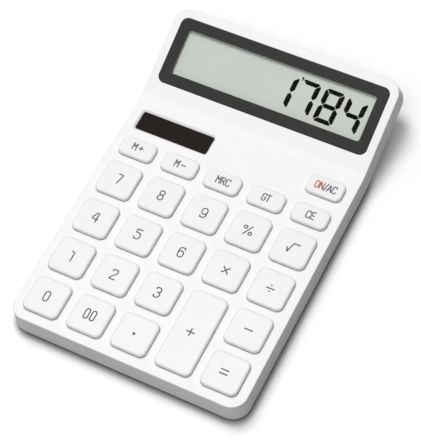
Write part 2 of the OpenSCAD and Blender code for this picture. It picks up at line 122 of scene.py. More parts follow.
class KeySettings(bpy.types.PropertyGroup):
    """Sizes of the keycaps."""

    corner: length("Corner radius", "Radius of a key's corners, seen from above", 2.8)
    edge: length("Edge rounding", "Radius round a key's face", 0.8)
    draft: length("Draft", "How far a key's sides lean in over their height", 0.05)
    gap: length("Gap", "Gap between a key and its opening", 0.06)
    stroke: length("Legend stroke", "Width of the strokes of the large legends", 0.54)
    small_stroke: length("Small stroke", "Width of the strokes of the small legends", 0.5)


class DisplaySettings(bpy.types.PropertyGroup):
    """Sizes of the display frame and its figures."""

    width: length("Frame width", "Width of the dark frame", 96.6)
    length: length("Frame length", "Length of the dark frame along the slope", 30)
    view_width: length("View width", "Width of the visible display", 87.6)
    view_length: length("View length", "Length of the visible display along the slope", 20.4)
    undercut: length("Undercut", "How far the frame's inner edge is cut back underneath", 0.65)
    depth: length("Screen depth", "Depth of the screen below the case's face", 1.85)
    figure_width: length("Figure width", "Width of a figure", 8.9)
    figure_height: length("Figure height", "Height of a figure", 14.95)
    upright: length("Upright stroke", "Width of an upright segment", 2.2)
    level: length("Level stroke", "Width of a level segment", 1.9)
    parting: length("Segment gap", "Half the gap between neighbouring segments", 0.11)
    blunt: length("Blunt tip", "How much of a segment's outer tip is cut away", 1.1)


class ColourSettings(bpy.types.PropertyGroup):
    """Colours of the finishes."""

    case: colour("Case", "White of the case", 246, 246, 247)
    keys: colour("Keys", "White of the keys", 240, 239, 242)
    frame: colour("Frame", "Grey of the display frame", 45, 45, 44)
    screen: colour("Screen", "Grey-green of the display", 219, 226, 217)
    figures: colour("Figures", "Black of the display's figures", 6, 6, 6)
    legend: colour("Legend", "Grey of the printed legends", 96, 96, 98)
    power: colour("Power legend", "Orange-brown of the power legend", 190, 96, 48)
    solar: colour("Solar cell", "Brown of the solar cell", 26, 14, 9)


class StageSettings(bpy.types.PropertyGroup):
    """Floor, lamps and camera."""

    floor: amount("Floor", "Brightness of the floor", 1.13)
    bounce: amount("Bounce", "Brightness of the floor as the object sees it", 0.14)
    # Painted contact shadow: how dark the floor's colour is made near the object, and how far that reaches
    contact: amount("Contact", "How dark the floor turns where the object meets it", 0.7)
    reach: length("Contact reach", "How far from the object that darkening reaches", 3.5)
    lamp: amount("Lamp", "Power of the lamp overhead", 9.9, "POWER")
    broad: amount("Broad lamp", "Power of the wide lamp at the rear left", 4.2, "POWER")
    front: amount("Front lamp", "Power of the high lamp in front", 6.0, "POWER")
    fill: amount("Fill", "Power of the low lamp in front", 1.9, "POWER")
    sky: amount("Sky", "Strength of the light from all round", 0.16)
    focal: amount("Focal length", "Focal length of the camera in millimetres", 134.684)


SETTINGS = {
    "calculator_case": CaseSettings,
    "calculator_keys": KeySettings,
    "calculator_display": DisplaySettings,
    "calculator_colours": ColourSettings,
    "calculator_stage": StageSettings,
}

# ---- mesh helpers

CORNER_STEPS = 10
ROUND_STEPS = 5
MOUTH_STEPS = 4
MERGE = 1e-7        # points closer together than this count as one
SPARE = 1 * MM      # how far a cutter reaches past the surface that it cuts


def outline_face(bm, width, length, radius, centre=(0, 0), height=0.0):
    """A flat face with rounded corners, facing up."""
    verts = bmesh.ops.create_grid(bm, x_segments=1, y_segments=1, size=0.5)["verts"]
    bmesh.ops.scale(bm, vec=(width, length, 1), verts=verts)
    bmesh.ops.translate(bm, vec=(centre[0], centre[1], height), verts=verts)
    face = verts[0].link_faces[0]
    made = bmesh.ops.bevel(bm, geom=verts, offset=radius, offset_type="OFFSET", segments=CORNER_STEPS,
                           profile=0.5, affect="VERTICES", material=-1)
    return face if face.is_valid else made["verts"][0].link_faces[0]


def lift(bm, face, rise):
    """Extrudes a face straight up or down and returns its new place."""
    joined = any(len(edge.link_faces) > 1 for edge in face.edges)
    made = bmesh.ops.extrude_face_region(bm, geom=[face])["geom"]
    verts = [g for g in made if isinstance(g, bmesh.types.BMVert)]
    bmesh.ops.translate(bm, vec=(0, 0, rise), verts=verts)
    if joined:
        bmesh.ops.delete(bm, geom=[face], context="FACES_ONLY")
    return next(g for g in made if isinstance(g, bmesh.types.BMFace))


def draw_in(bm, face, inward, rise):
    """Steps a face inwards by an even margin, and up or down."""
    bmesh.ops.inset_region(bm, faces=[face], thickness=inward, depth=0, use_even_offset=True,
                           use_boundary=True)
    bmesh.ops.translate(bm, vec=(0, 0, rise), verts=list(face.verts))
    return face


def quarter_circle(radius, steps):
    """How far in and how far up each step goes, from an upright side to a level face."""
    turns = [math.pi / 2 * k / steps for k in range(steps + 1)]
    return [(radius * (math.cos(low) - math.cos(high)), radius * (math.sin(high) - math.sin(low)))
            for low, high in zip(turns, turns[1:])]


def round_over(bm, face, radius, steps=ROUND_STEPS):
    """Rounds the rim of a face: its sides turn in along a quarter circle."""
    for inward, rise in quarter_circle(radius, steps):
        face = draw_in(bm, face, inward, rise)


def mouth_cutter(bm, width, length, radius, centre, depth, mouth, top=0.0):
    """A cutter for an opening with a rounded rim: wide above the surface, then in and straight down."""
    face = outline_face(bm, width + 2 * mouth, length + 2 * mouth, radius + mouth, centre, top + SPARE)
    face = lift(bm, face, -SPARE)
    for inward, rise in reversed(quarter_circle(mouth, MOUTH_STEPS)):
        face = draw_in(bm, face, inward, -rise)
    lift(bm, face, mouth - depth)


def straight_cutter(bm, width, length, radius, centre, top, bottom):
    """A cutter with upright sides and rounded corners."""
    face = outline_face(bm, width, length, radius, centre, top)
    lift(bm, face, bottom - top)


def rod(bm, centre, top, bottom, radius, segments):
    """An upright cylinder between two heights; returns its vertices."""
    made = bmesh.ops.create_cone(bm, cap_ends=True, cap_tris=False, segments=segments, radius1=radius,
                                 radius2=radius, depth=top - bottom)
    bmesh.ops.translate(bm, vec=(centre[0], centre[1], (top + bottom) / 2), verts=made["verts"])
    return made["verts"]


def closed(bm):
    """Merges doubles and turns every face outwards."""
    bmesh.ops.remove_doubles(bm, verts=bm.verts, dist=MERGE)
    bmesh.ops.recalc_face_normals(bm, faces=bm.faces)
    return bm


def linked(name, data):
    """A new object in the scene."""
    piece = bpy.data.objects.new(name, data)
    bpy.context.scene.collection.objects.link(piece)
    return piece


def as_object(bm, name):
    mesh = bpy.data.meshes.new(name)
    closed(bm).to_mesh(mesh)
    bm.free()
    return linked(name, mesh)


def discard(piece):
    """Removes a piece and its mesh."""
    mesh = piece.data
    bpy.data.objects.remove(piece)
    bpy.data.meshes.remove(mesh)


def flattened(piece):
    """Replaces a piece's mesh by what its modifiers make of it."""
    seen = bpy.context.evaluated_depsgraph_get()
    mesh = bpy.data.meshes.new_from_object(piece.evaluated_get(seen))
    old = piece.data
    piece.modifiers.clear()
    piece.data = mesh
    mesh.name = piece.name
    bpy.data.meshes.remove(old)
    return piece


@contextmanager
def tool(piece, name, operation="DIFFERENCE"):
    """Gives an empty mesh to draw in, then cuts the piece with what was drawn, or joins the two."""
    bm = bmesh.new()
    yield bm
    drawn = as_object(bm, name)
    cut = piece.modifiers.new("combine", "BOOLEAN")
    cut.operation = operation
    cut.solver = "EXACT"
    cut.object = drawn
    flattened(piece)
    discard(drawn)


def shade(piece, angle=32):
    """Smooth shading that keeps flat faces flat and corners sharp."""
    mesh = piece.data
    mesh.shade_smooth()
    mesh.set_sharp_from_angle(angle=math.radians(angle))
    weighted = piece.modifiers.new("weighted", "WEIGHTED_NORMAL")
    weighted.keep_sharp = True
    weighted.weight = 100
    return flattened(piece)


def settle(piece, matrix, material, body, slot, *replaced):
    """Puts a piece's place in its mesh, gives it its finish and hangs it on its body."""
    piece.data.transform(matrix)
    piece.data.materials.clear()
    piece.data.materials.append(material)
    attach(piece, body)
    if replaced:
        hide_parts(*replaced)
    return piece


# ---- finishes


def label(name):
    """A socket's name, as a node shows it."""
    return name.replace("_", " ").title()


def feed(tree, socket, value):
    """Links a socket to another, or sets it to a plain value."""
    if isinstance(value, bpy.types.NodeSocket):
        tree.links.new(value, socket)
    else:
        socket.default_value = value


def add(tree, kind, **values):
    """Adds a node: names of its properties set those, and the rest feed its sockets."""
    node = tree.nodes.new("ShaderNode" + kind)
    for name, value in values.items():
        if hasattr(node, name):
            setattr(node, name, value)
        else:
            feed(tree, node.inputs[label(name)], value)
    return node


def math_node(tree, operation, first, second):
    node = add(tree, "Math", operation=operation)
    feed(tree, node.inputs[0], first)
    feed(tree, node.inputs[1], second)
    return node.outputs[0]


def blend_colour(tree, mode, factor, first, second):
    """A mix of two colours; in this node, input 0 is its factor, 6 and 7 and output 2 are its colours."""
    node = add(tree, "Mix", data_type="RGBA", blend_type=mode)
    for index, value in ((0, factor), (6, first), (7, second)):
        feed(tree, node.inputs[index], value)
    return node.outputs[2]


def spread(tree, value, low, high):
    """Stretches a value that runs from 0 to 1 over another range."""
    return add(tree, "MapRange", clamp=False, value=value, to_min=low, to_max=high).outputs["Result"]


def noise(tree, vector, scale, detail=2.0, roughness=0.5):
    return add(tree, "TexNoise", detail=detail, roughness=roughness, vector=vector, scale=scale).outputs[0]


def effect(title, **inputs):
    """A new node group that takes a place and the inputs, and gives a colour, a roughness and a normal."""
    tree = bpy.data.node_groups.new(title, "ShaderNodeTree")
    sockets = tree.interface
    sockets.new_socket(name="Vector", in_out="INPUT", socket_type="NodeSocketVector")
    for name, value in inputs.items():
        kind = "NodeSocketFloat" if isinstance(value, float) else "NodeSocketColor"
        sockets.new_socket(name=label(name), in_out="INPUT", socket_type=kind).default_value = value
    for name, kind in (("Colour", "Color"), ("Roughness", "Float"), ("Normal", "Vector")):
        sockets.new_socket(name=name, in_out="OUTPUT", socket_type="NodeSocket" + kind)
    return tree, tree.nodes.new("NodeGroupInput").outputs, tree.nodes.new("NodeGroupOutput")


def deliver(tree, out, colour, roughness, height, depth):
    """Sends what a node group makes to its outputs, with the height as a bump."""
    bump = add(tree, "Bump", strength=1.0, distance=depth)
    tree.links.new(height, bump.inputs["Height"])
    for name, source in (("Colour", colour), ("Roughness", roughness), ("Normal", bump.outputs[0])):
        tree.links.new(source, out.inputs[name])
    return tree


def moulded_grain():
    """Moulded plastic: fine spark-eroded grain, faint flow marks and handling sheen."""
    tree, given, out = effect("Moulded Grain", colour=(0.8, 0.8, 0.8, 1), shade=0.02, scale=6000.0,
                              depth=0.00001, roughness=0.45, spread=0.08)
    vector = given["Vector"]
    flow = math_node(tree, "MULTIPLY", noise(tree, vector, 38.0, 3.0), given["Shade"])
    sheen = math_node(tree, "MULTIPLY", math_node(tree, "SUBTRACT", noise(tree, vector, 90.0, 4.0), 0.5),
                      given["Spread"])
    return deliver(tree, out, blend_colour(tree, "MULTIPLY", flow, given["Colour"], BLACK),
                   math_node(tree, "ADD", given["Roughness"], sheen),
                   noise(tree, vector, given["Scale"], 2.0, 0.6), given["Depth"])


def metal_brushing():
    """Drawn or turned metal: stretched fine lines and cloudy tarnish."""
    tree, given, out = effect("Metal Brushing", colour=(0.6, 0.6, 0.6, 1), tarnish=0.25, scale=900.0,
                              depth=0.00001, roughness=0.3)
    vector = given["Vector"]
    stretch = add(tree, "Mapping", vector_type="POINT", vector=vector, scale=(1.0, 14.0, 14.0))
    lines = noise(tree, stretch.outputs[0], given["Scale"], 3.0)
    cloud = math_node(tree, "MULTIPLY", noise(tree, vector, 260.0, 4.0), given["Tarnish"])
    return deliver(tree, out, blend_colour(tree, "MULTIPLY", cloud, given["Colour"], TARNISH),
                   math_node(tree, "ADD", given["Roughness"], math_node(tree, "MULTIPLY", lines, 0.2)),
                   lines, given["Depth"])


def speckle():
    """Rubber, ceramic, laminate and carbon: small specks of another shade with a rough skin."""
    tree, given, out = effect("Speckle", colour=(0.3, 0.3, 0.3, 1), flecks=(0.4, 0.4, 0.4, 1),
                              scale=1500.0, depth=0.00002, roughness=0.6)
    vector = given["Vector"]
    specks = add(tree, "TexVoronoi", vector=vector, scale=given["Scale"]).outputs["Distance"]
    mask = add(tree, "Clamp", value=spread(tree, specks, 1.0, -0.6)).outputs[0]
    rough = math_node(tree, "MULTIPLY", noise(tree, vector, 400.0), 0.15)
    return deliver(tree, out, blend_colour(tree, "MIX", mask, given["Colour"], given["Flecks"]),
                   math_node(tree, "ADD", given["Roughness"], rough), specks, given["Depth"])


BLACK = (0, 0, 0, 1)
TARNISH = (0.25, 0.22, 0.18, 1)


def finish(name, build, shader=None, **values):
    """A material: one shared effect that feeds a Principled BSDF, whose other sockets are set plainly.

    The values are the effect's settings where they differ from its own.
    """
    material = bpy.data.materials.get(name)
    if material:
        return material
    material = bpy.data.materials.new(name)
    material.use_nodes = True
    tree = material.node_tree
    principled = tree.nodes["Principled BSDF"]
    shared = bpy.data.node_groups.get(label(build.__name__)) or build()
    node = add(tree, "Group", node_tree=shared, vector=add(tree, "TexCoord").outputs["Object"])
    for setting, value in values.items():
        node.inputs[label(setting)].default_value = value if isinstance(value, float) else (*value, 1)
    for given, taken in (("Colour", "Base Color"), ("Roughness", "Roughness"), ("Normal", "Normal")):
        tree.links.new(node.outputs[given], principled.inputs[taken])
    for socket, value in (shader or {}).items():
        principled.inputs[socket].default_value = value
    return material


def chosen(name):
    """One of the colours in the settings."""
    return getattr(bpy.context.scene.calculator_colours, name)


def case_white():
    return finish("Case White", moulded_grain, colour=chosen("case"), shade=0.012, scale=5200.0,
                  depth=0.000006, roughness=0.5)


# Painted shade at the foot of each key: its sides are darkened in colour where the case stands near
KEY_FOOT_PAINTED_SHADE = 1.2         # how strongly painted shade darkens a key's sides towards the case
KEY_FOOT_SHADE_REACH = 1.5 * MM   # how far up from the case that painted shade reaches
KEY_FOOT_SHADE_TONE = (0.02, 0.02, 0.02, 1)


def enclosed(tree, reach, strength):
    """Mask for painted shade: 0 on an open surface, rising towards the strength where others stand within
    reach.
    """
    nearby = add(tree, "AmbientOcclusion", samples=8, distance=reach)
    return math_node(tree, "MULTIPLY", math_node(tree, "SUBTRACT", 1.0, nearby.outputs["AO"]), strength)


def tint(material, factor, tone):
    """Mixes another colour into a finish, as much as the factor says."""
    tree = material.node_tree
    shared = next(node for node in tree.nodes if node.bl_idname == "ShaderNodeGroup")
    mixed = blend_colour(tree, "MIX", factor, shared.outputs["Colour"], tone)
    tree.links.new(mixed, tree.nodes["Principled BSDF"].inputs["Base Color"])
    return material


def key_white():
    material = finish("Key White", moulded_grain, colour=chosen("keys"), shade=0.012, scale=7000.0,
                      depth=0.000003, roughness=0.42, spread=0.1)
    # Painted shade: the key's colour is mixed towards a dark tone where the case stands near its sides
    return tint(material, enclosed(material.node_tree, KEY_FOOT_SHADE_REACH, KEY_FOOT_PAINTED_SHADE), KEY_FOOT_SHADE_TONE)


def frame_grey():
    return finish("Frame Grey", moulded_grain, {"Specular IOR Level": 0.12}, colour=chosen("frame"),
                  shade=0.15, scale=5200.0, depth=0.000006, roughness=0.48, spread=0.1)


def ink(name, setting, gloss=0.15):
    return finish(name, moulded_grain, {"Specular IOR Level": gloss}, colour=chosen(setting), shade=0.12,
                  scale=9000.0, depth=0.000002, roughness=0.5, spread=0.1)


SOLAR_STRIPS = 4
HAIRLINE = 0.08 * MM        # half the width of the lines between the strips
HAIRLINE_TONE = (0.012, 0.007, 0.005, 1)


def solar_brown():
    """Dark film under glass: strips parted by hair lines, with a faint cloudy tone."""
    material = finish("Solar Brown", moulded_grain, {"Specular IOR Level": 0.06}, colour=chosen("solar"),
                      shade=0.25, scale=2400.0, depth=0.000001, roughness=0.3, spread=0.1)
    tree = material.node_tree
    axes = add(tree, "SeparateXYZ")
    tree.links.new(tree.nodes["Texture Coordinate"].outputs["Object"], axes.inputs[0])
    low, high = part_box("solar_cell")
    pitch = (high.x - low.x) / SOLAR_STRIPS
    along = math_node(tree, "DIVIDE", math_node(tree, "SUBTRACT", axes.outputs["X"], low.x), pitch)
    phase = math_node(tree, "FRACT", along, 0)
    edge = math_node(tree, "ABSOLUTE", math_node(tree, "SUBTRACT", phase, 0.5), 0)
    return tint(material, math_node(tree, "GREATER_THAN", edge, 0.5 - HAIRLINE / pitch), HAIRLINE_TONE)


def inner_finishes():
    """Finishes of the parts that keep their frame shape, by node."""
    white = finish("Base White", moulded_grain, colour=(0.82, 0.82, 0.82), shade=0.03, scale=3600.0,
                   roughness=0.6)
    steel = finish("Screw Steel", metal_brushing, {"Metallic": 1.0}, colour=(0.62, 0.62, 0.6),
                   roughness=0.28)
    spring = finish("Contact Steel", metal_brushing, {"Metallic": 1.0}, colour=(0.7, 0.69, 0.66),
                    tarnish=0.15, roughness=0.22)
    carbon = finish("Carbon Black", speckle, colour=(0.015, 0.015, 0.016), flecks=(0.04, 0.04, 0.04))
    glass = finish("Display Glass", moulded_grain, {"Alpha": 0.35, "IOR": 1.5}, colour=(0.86, 0.9, 0.88),
                   depth=0.0000005, roughness=0.08)
    return {
        "bottom_case": white, "battery_door": white, "lcd_holder": white,
        "display_window": finish("Window Clear", moulded_grain, {"Alpha": 0.05, "IOR": 1.45},
                                 colour=(0.03, 0.031, 0.03), scale=1200.0, depth=0.0000005,
                                 roughness=0.06, spread=0.03),
        "front_polarizer": finish("Screen Grey", moulded_grain, colour=chosen("screen"), shade=0.03,
                                  scale=2600.0, depth=0.000002, roughness=0.5, spread=0.05),
        "lcd_front_glass": glass, "lcd_rear_glass": glass,
        "rear_reflector": finish("Reflector Silver", metal_brushing, {"Metallic": 0.8},
                                 colour=(0.7, 0.72, 0.7), tarnish=0.05, roughness=0.35),
        "lcd_flex": finish("Flex Amber", moulded_grain, {"Coat Weight": 0.5}, colour=(0.5, 0.2, 0.03),
                           shade=0.2, roughness=0.3),
        "holder_screws": steel, "board_screws": steel, "case_screws": steel,
        "battery_spring": spring, "battery_plate": spring,
        "battery_cell": finish("Cell Jacket", metal_brushing, {"Metallic": 0.6, "Coat Weight": 0.4},
                               colour=(0.12, 0.13, 0.16), tarnish=0.1),
        "solar_cell": solar_brown(),
        "solar_wires": finish("Wire Red", moulded_grain, colour=(0.4, 0.02, 0.02), roughness=0.4),
        "battery_wires": finish("Wire Black", moulded_grain, colour=(0.02, 0.02, 0.022), roughness=0.4),
        "key_mat": finish("Mat Silicone", speckle, colour=(0.34, 0.34, 0.35), flecks=(0.38, 0.38, 0.39),
                          depth=0.00001, roughness=0.62),
        "contact_pills": carbon, "contact_pads": carbon,
        "main_board": finish("Board Green", speckle, {"Coat Weight": 0.4}, colour=(0.02, 0.13, 0.05),
                             flecks=(0.03, 0.19, 0.08), scale=900.0, roughness=0.4),
        "chip_cover": finish("Resin Black", moulded_grain, {"Coat Weight": 0.5},
                             colour=(0.008, 0.008, 0.009), shade=0.3, scale=900.0, depth=0.00004,
                             roughness=0.25),
        "board_parts": finish("Ceramic Tan", speckle, colour=(0.4, 0.27, 0.15),
                              flecks=(0.5, 0.36, 0.22), roughness=0.4),
        "storage_capacitor": finish("Sleeve Blue", moulded_grain, {"Coat Weight": 0.3},
                                    colour=(0.03, 0.09, 0.3), shade=0.2, roughness=0.35),
    }


class CALCULATOR_OT_finish_frame(bpy.types.Operator):
    """Give every part that keeps its frame shape its material"""

    bl_idname = "calculator.finish_frame"
    bl_label = "Finish frame parts"

    def execute(self, context):
        for node, material in inner_finishes().items():
            mesh = frame["nodes"][node].data
            mesh.materials.clear()
            mesh.materials.append(material)
        return {"FINISHED"}


# ---- case


def bend_point(point, bend, tilt):
    """Carries a point of the flat case round the bend: y runs along the top face, z is height."""
    run = bend * math.tan(tilt / 2)
    x, along, height = point
    if along <= -run:
        return point
    if along >= run:
        return Vector((x, along * math.cos(tilt) - height * math.sin(tilt),
                       along * math.sin(tilt) + height * math.cos(tilt)))
    angle = tilt * (along + run) / (2 * run)
    reach = bend - height
    return Vector((x, reach * math.sin(angle) - run, bend - reach * math.cos(angle)))


# Posts under the top skin: radius, where they start in the skin, and where their bores start
POST_RADIUS = 2.3 * MM
POST_TOP = -1.3 * MM
BORE_TOP = -2.5 * MM
POST_SIDES, BORE_SIDES = 24, 20


def post(column, row, end, bore):
    """A post between four keys: place in key pitches, then its lower end and its bore in millimetres."""
    return column * COLUMN_PITCH * MM, (row + 0.5) * ROW_PITCH * MM - FIRST_ROW, end * MM, bore * MM


POSTS = ([post(column, row, 8.05, 1.15) for column in (-1.5, 1.5) for row in (1, 3)]
         + [post(column, row, 5.28, 1.0)
            for column, row in ((-1.5, 0), (-0.5, 1), (-1.5, 2), (0.5, 2), (1.5, 2), (0.5, 3))]
         + [(x * MM, 5.4 * MM, 3.85 * MM, 1.0 * MM) for x in (-30, 30)])

# Places and corners of the openings, and how much wider the case's own are than what they hold
SOLAR_SPOT = (-30 * MM, -10.97 * MM)
SOLAR_CORNER = 1 * MM
FRAME_SPOT = (0, 23.5 * MM)
FRAME_CORNER = 3 * MM
FRAME_GAP = 0.15 * MM
VIEW_SPOT = (0, 23.72 * MM)
VIEW_CORNER = 1.2 * MM
VIEW_LEDGE = 1.9 * MM, 1.95 * MM
RECESS_DEPTH = 1 * MM
RECESS_MOUTH = 0.12 * MM
HEM = 0.2 * MM              # height of the upright strip along the walls' lower edge
BEND_STATIONS = 12


class CALCULATOR_OT_case(bpy.types.Operator):
    """Build the upper case: a shell with rounded edges, its openings and its posts, bent in one piece"""

    bl_idname = "calculator.case"
    bl_label = "Upper case"

    def execute(self, context):
        case = context.scene.calculator_case
        keys = context.scene.calculator_keys
        show = context.scene.calculator_display
        total, middle = case.keypad + case.display, (case.display - case.keypad) / 2
        grow, rise = case.flare, case.height - HEM

        bm = bmesh.new()
        face = outline_face(bm, case.width + 2 * grow, total + 2 * grow, case.corner + grow, (0, middle),
                            -case.height)
        face = lift(bm, face, HEM)
        face = draw_in(bm, face, grow * (rise - case.edge) / rise, rise - case.edge)
        round_over(bm, face, case.edge)
        shell = as_object(bm, "case_moulding")

        with tool(shell, "hollow") as bm:
            straight_cutter(bm, case.width - 2 * case.wall, total - 2 * case.wall, case.corner - case.wall,
                            (0, middle), -case.wall, -case.height - SPARE)
        with tool(shell, "posts", "UNION") as bm:
            for x, y, end, _ in POSTS:
                rod(bm, (x, y), POST_TOP, -end, POST_RADIUS, POST_SIDES)
        with tool(shell, "bores") as bm:
            for x, y, end, bore in POSTS:
                rod(bm, (x, y), BORE_TOP, -end - SPARE, bore, BORE_SIDES)

        depth, bevel = case.wall + SPARE, case.solar_bevel
        with tool(shell, "openings") as bm:
            for node in KEYS:
                place, width, long = key_place(node)
                mouth_cutter(bm, width + 2 * keys.gap, long + 2 * keys.gap, keys.corner + keys.gap,
                             (place.x, place.y - BEND_Y), depth, case.mouth)
            mouth_cutter(bm, show.width + 2 * FRAME_GAP, show.length + 2 * FRAME_GAP,
                         FRAME_CORNER + FRAME_GAP, FRAME_SPOT, RECESS_DEPTH, RECESS_MOUTH)
        with tool(shell, "solar") as bm:
            face = outline_face(bm, case.solar_width + 2 * bevel, case.solar_length + 2 * bevel,
                                SOLAR_CORNER + bevel, SOLAR_SPOT, SPARE)
            face = lift(bm, face, -SPARE)
            face = draw_in(bm, face, bevel, -bevel)
            lift(bm, face, bevel - depth)
        with tool(shell, "view") as bm:
            straight_cutter(bm, show.view_width + 2 * VIEW_LEDGE[0], show.view_length + 2 * VIEW_LEDGE[1],
                            VIEW_CORNER + RECESS_DEPTH, VIEW_SPOT, 0, -depth)

        bm = bmesh.new()
        bm.from_mesh(shell.data)
        many_sided = [face for face in bm.faces if len(face.verts) > 4]
        bmesh.ops.triangulate(bm, faces=many_sided, quad_method="BEAUTY", ngon_method="BEAUTY")
        run = case.bend * math.tan(TILT / 2)
        for i in range(BEND_STATIONS + 1):
            everything = bm.verts[:] + bm.edges[:] + bm.faces[:]
            bmesh.ops.bisect_plane(bm, geom=everything, dist=MERGE, plane_no=(0, 1, 0),
                                   plane_co=(0, run * (2 * i / BEND_STATIONS - 1), 0))
        for vert in bm.verts:
            vert.co = bend_point(vert.co, case.bend, TILT)
        closed(bm).to_mesh(shell.data)
        bm.free()
        shade(shell)
        settle(shell, KEYPAD, case_white(), CASE, "case_white", "top_case")
        return {"FINISHED"}


# ---- keys


LIP_TOP = -1.9 * MM         # heights from the case's top face
LIP_BOTTOM = -2.7 * MM
CAP_WALL = 1.3 * MM
CAP_SKIN = 1.4 * MM
PLUNGER_RADIUS = 2.6 * MM
PLUNGER_ROOT = 1 * MM       # how far below the key's face the plunger starts
PLUNGER_SIDES = 28
EDGE_STEPS = 6


def key_mesh(width, long, keys):
    """One keycap with its lip, hollow and plunger, centred on the top face of the case."""
    bm = bmesh.new()
    face = outline_face(bm, width + 2 * KEY_LIP, long + 2 * KEY_LIP, keys.corner + KEY_LIP, height=LIP_BOTTOM)
    face = lift(bm, face, LIP_TOP - LIP_BOTTOM)
    face = draw_in(bm, face, KEY_LIP, 0)
    face = lift(bm, face, -LIP_TOP)
    face = draw_in(bm, face, keys.draft, KEY_RISE - keys.edge)
    round_over(bm, face, keys.edge, EDGE_STEPS)
    cap = as_object(bm, "cap")
    with tool(cap, "hollow") as bm:
        straight_cutter(bm, width - 2 * CAP_WALL, long - 2 * CAP_WALL, keys.corner - CAP_WALL, (0, 0),
                        KEY_RISE - CAP_SKIN, LIP_BOTTOM - SPARE)
    with tool(cap, "plunger", "UNION") as bm:
        rod(bm, (0, 0), KEY_RISE - PLUNGER_ROOT, LIP_BOTTOM, PLUNGER_RADIUS, PLUNGER_SIDES)
    return shade(cap)


class CALCULATOR_OT_keys(bpy.types.Operator):
    """Build the keycaps: rounded faces on slightly drafted sides"""

    bl_idname = "calculator.keys"
    bl_label = "Keycaps"

    def execute(self, context):
        keys = context.scene.calculator_keys
        white = key_white()
        masters = {}
        for node in KEYS:
            place, width, long = key_place(node)
            size = (round(width, 5), round(long, 5))
            if size not in masters:
                masters[size] = key_mesh(width, long, keys)
            piece = linked(node.replace("key_", "cap_"), masters[size].data.copy())
            settle(piece, Matrix.Translation((place.x, place.y, SKIN_Z)), white, node, "key_white", node)
        for master in masters.values():
            discard(master)
        return {"FINISHED"}


# ---- legends


def ring(left, right, low, high, rounding):
    """A stroke that closes on itself: an upright box with rounded corners."""
    corners = (right, high), (left, high), (left, low), (right, low)
    return ["ring", *((x, y, rounding) for x, y in corners)]


def line(x1, y1, x2, y2):
    """A straight stroke."""
    return [(x1, y1, 0), (x2, y2, 0)]


# Each glyph is a list of strokes. A stroke is a list of (x, y, rounding) in millimetres from the
# middle of the glyph, or a ring. One point alone is a dot, with its radius in place of the rounding.
FIGURES = {
    "0": [ring(-1.05, 1.05, -2.2, 2.2, 1.0)],
    "1": [[(-0.6, 2.2, 0), (0.65, 2.2, 0.8), (0.65, -2.2, 0)]],
    "2": [[(-1.1, 1.35, 0), (-1.1, 2.2, 1.05), (1.15, 2.2, 1.1), (1.15, 0.75, 0.9), (-1.15, -1.7, 0.35),
           (-1.15, -2.2, 0.15), (1.15, -2.2, 0)]],
    "3": [[(-1.05, 1.4, 0), (-1.05, 2.2, 0.95), (1.05, 2.2, 0.95), (1.05, 0.1, 0.95), (-0.15, 0.1, 0)],
          [(-0.15, 0.1, 0), (1.15, 0.1, 1.0), (1.15, -2.2, 1.05), (-1.1, -2.2, 1.05), (-1.1, -1.35, 0)]],
    "4": [[(0.25, 2.2, 0), (-1.05, -0.85, 0.3), (1.5, -0.85, 0)], line(1.05, 2.2, 1.05, -2.2)],
    "5": [[(1.1, 2.2, 0), (-1.1, 2.2, 0.15), (-1.1, 0.65, 0.3), (1.15, 0.65, 1.1), (1.15, -2.2, 1.1),
           (-1.15, -2.2, 1.05), (-1.15, -1.5, 0)]],
    "6": [ring(-1.15, 1.15, -2.2, 0.6, 1.1),
          [(-1.15, -0.7, 0), (-1.15, 2.2, 1.1), (1.1, 2.2, 1.05), (1.1, 1.5, 0)]],
    "7": [[(-0.95, 2.2, 0), (1.1, 2.2, 0.45), (-0.15, -2.2, 0)]],
    "8": [ring(-1.02, 1.02, 0.15, 2.25, 1.0), ring(-1.15, 1.15, -2.2, 0.15, 1.1)],
    "9": [ring(-1.15, 1.15, -0.6, 2.2, 1.1),
          [(1.15, 0.7, 0), (1.15, -2.2, 1.1), (-1.1, -2.2, 1.05), (-1.1, -1.5, 0)]],
    "00": [ring(-2.25, -0.5, -2.2, 2.2, 0.85), ring(0.6, 2.35, -2.2, 2.2, 0.85)],
    "point": [[(0, 0, 0.62)]],
    "equals": [line(-1.6, 0.88, 1.6, 0.88), line(-1.6, -0.88, 1.6, -0.88)],
    "minus": [line(-1.65, 0, 1.65, 0)],
    "plus": [line(-1.6, 0, 1.6, 0), line(0, -1.6, 0, 1.6)],
    "times": [line(-1.35, -1.35, 1.35, 1.35), line(-1.35, 1.35, 1.35, -1.35)],
    "divide": [line(-1.6, 0, 1.6, 0), [(0, 1.4, 0.36)], [(0, -1.4, 0.36)]],
    "percent": [line(-1.25, -2.2, 1.25, 2.2),
                ring(-2.1, -0.7, 0.5, 1.9, 0.7), ring(0.7, 2.1, -1.9, -0.5, 0.7)],
    "root": [line(-2.3, -0.35, -1.65, -2.2), [(-1.65, -2.2, 0), (-0.35, 2.15, 0.4), (2.3, 2.15, 0)]],
}

